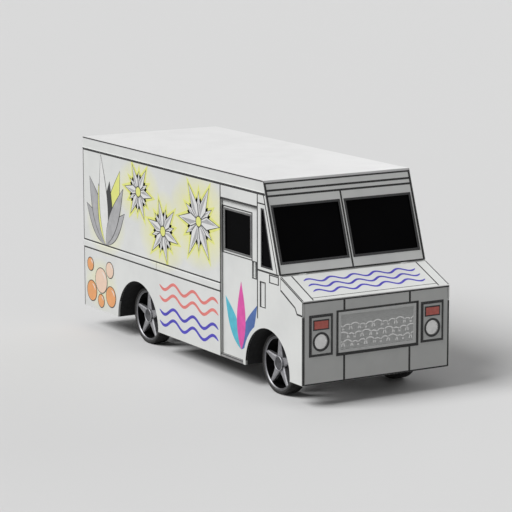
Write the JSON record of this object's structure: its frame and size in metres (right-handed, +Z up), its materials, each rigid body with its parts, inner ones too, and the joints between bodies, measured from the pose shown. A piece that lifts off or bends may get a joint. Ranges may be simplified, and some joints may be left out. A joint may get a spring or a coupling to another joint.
{
  "type": "delivery van",
  "caption": "Boxy walk-in delivery van with a divided windshield, short sloped hood, sliding cab doors, hinged rear doors and spoked alloy wheels.",
  "frame": {"origin": "on the ground under the middle of the bounding box", "axes": "+X forward, +Y to the van's left, +Z up"},
  "size_m": [6.337, 2.324, 2.87],
  "materials": {
    "chassis_steel": "satin",
    "deck": "matte",
    "housing_black": "matte",
    "body_paint": "satin",
    "roof_paint": "satin",
    "dark_glass": "polished",
    "grille_grey": "satin",
    "lamp_lens": "polished",
    "red_lens": "polished",
    "engine_iron": "matte",
    "bright_steel": "brushed",
    "cab_trim": "matte",
    "seat_vinyl": "satin",
    "alloy": "satin",
    "tyre_rubber": "matte"
  },
  "bodies": {
    "van": {"frame_rails": "chassis_steel", "cross_members": "chassis_steel", "front_axle": "chassis_steel", "rear_axle": "chassis_steel", "leaf_springs": "chassis_steel", "propshaft": "chassis_steel", "floor": "deck", "door_steps": "deck", "wheel_housings": "housing_black", "side_walls": "body_paint", "skirts": "body_paint", "rub_rails": "body_paint", "cant_rails": "body_paint", "door_headers": "body_paint", "cab_pillars": "body_paint", "fenders": "body_paint", "windshield_frame": "body_paint", "nose_panel": "body_paint", "lamp_bezels": "body_paint", "rear_portal": "body_paint", "roof": "roof_paint", "cab_glass": "dark_glass", "grille": "grille_grey", "headlamps": "lamp_lens", "signal_lamps": "red_lens", "engine_block": "engine_iron", "fuel_tank": "bright_steel", "exhaust": "bright_steel", "dashboard": "cab_trim", "engine_cover": "cab_trim", "steering_column": "cab_trim", "seat": "seat_vinyl"},
    "hood": {"hood": "body_paint"},
    "cab_door_left": {"cab_door_left": "body_paint", "door_glass_left": "dark_glass"},
    "cab_door_right": {"cab_door_right": "body_paint", "door_glass_right": "dark_glass"},
    "rear_door_left": {"rear_door_left": "body_paint"},
    "rear_door_right": {"rear_door_right": "body_paint"},
    "knuckle_left": {"knuckle_left": "chassis_steel"},
    "knuckle_right": {"knuckle_right": "chassis_steel"},
    "tie_rod": {"tie_rod": "chassis_steel"},
    "steering_wheel": {"steering_wheel": "cab_trim"},
    "wheel_front_left": {"rim_front_left": "alloy", "tyre_front_left": "tyre_rubber"},
    "wheel_front_right": {"rim_front_right": "alloy", "tyre_front_right": "tyre_rubber"},
    "wheel_rear_left": {"rim_rear_left": "alloy", "tyre_rear_left": "tyre_rubber"},
    "wheel_rear_right": {"rim_rear_right": "alloy", "tyre_rear_right": "tyre_rubber"}
  },
  "joints": [
    {"name": "hood_lift", "type": "hinge", "parent": "van", "child": "hood", "pos_m": [2.5905, 0, 1.65709], "axis": [0, -1, 0], "range_deg": [0, 60]},
    {"name": "cab_door_left_slide", "type": "slide", "parent": "van", "child": "cab_door_left", "axis": [-1, 0, 0], "range_m": [0, 0.93]},
    {"name": "cab_door_right_slide", "type": "slide", "parent": "van", "child": "cab_door_right", "axis": [-1, 0, 0], "range_m": [0, 0.93]},
    {"name": "rear_door_left_swing", "type": "hinge", "parent": "van", "child": "rear_door_left", "pos_m": [-3.1465, 1.01, 1.7], "axis": [0, 0, -1], "range_deg": [0, 170]},
    {"name": "rear_door_right_swing", "type": "hinge", "parent": "van", "child": "rear_door_right", "pos_m": [-3.1465, -1.01, 1.7], "axis": [0, 0, 1], "range_deg": [0, 170]},
    {"name": "steer_right", "type": "hinge", "parent": "van", "child": "knuckle_right", "pos_m": [2.2665, -0.8, 0.415], "axis": [0, 0, 1], "range_deg": [-35, 35]},
    {"name": "steer_left", "type": "hinge", "parent": "van", "child": "knuckle_left", "pos_m": [2.2665, 0.8, 0.415], "axis": [0, 0, 1], "range_deg": [-35, 35]},
    {"name": "tie_rod_swing", "type": "hinge", "parent": "knuckle_right", "child": "tie_rod", "pos_m": [2.0665, -0.8, 0.34], "axis": [0, 0, 1], "range_deg": [-35, 35]},
    {"name": "steering_wheel_turn", "type": "hinge", "parent": "van", "child": "steering_wheel", "pos_m": [2.0065, 0.45, 1.5], "axis": [-0.6428, 0, 0.766], "range_deg": [-560, 560]},
    {"name": "wheel_front_left_spin", "type": "hinge", "parent": "knuckle_left", "child": "wheel_front_left", "pos_m": [2.2665, 0.8825, 0.415], "axis": [0, 1, 0], "continuous": true},
    {"name": "wheel_front_right_spin", "type": "hinge", "parent": "knuckle_right", "child": "wheel_front_right", "pos_m": [2.2665, -0.8825, 0.415], "axis": [0, 1, 0], "continuous": true},
    {"name": "wheel_rear_left_spin", "type": "hinge", "parent": "van", "child": "wheel_rear_left", "pos_m": [-1.4135, 0.8825, 0.415], "axis": [0, 1, 0], "continuous": true},
    {"name": "wheel_rear_right_spin", "type": "hinge", "parent": "van", "child": "wheel_rear_right", "pos_m": [-1.4135, -0.8825, 0.415], "axis": [0, 1, 0], "continuous": true}
  ],
  "couplings": [
    {"joint": "steer_left", "follows": "steer_right", "ratio": 1},
    {"joint": "tie_rod_swing", "follows": "steer_right", "ratio": -1},
    {"joint": "steering_wheel_turn", "follows": "steer_right", "ratio": 16}
  ]
}
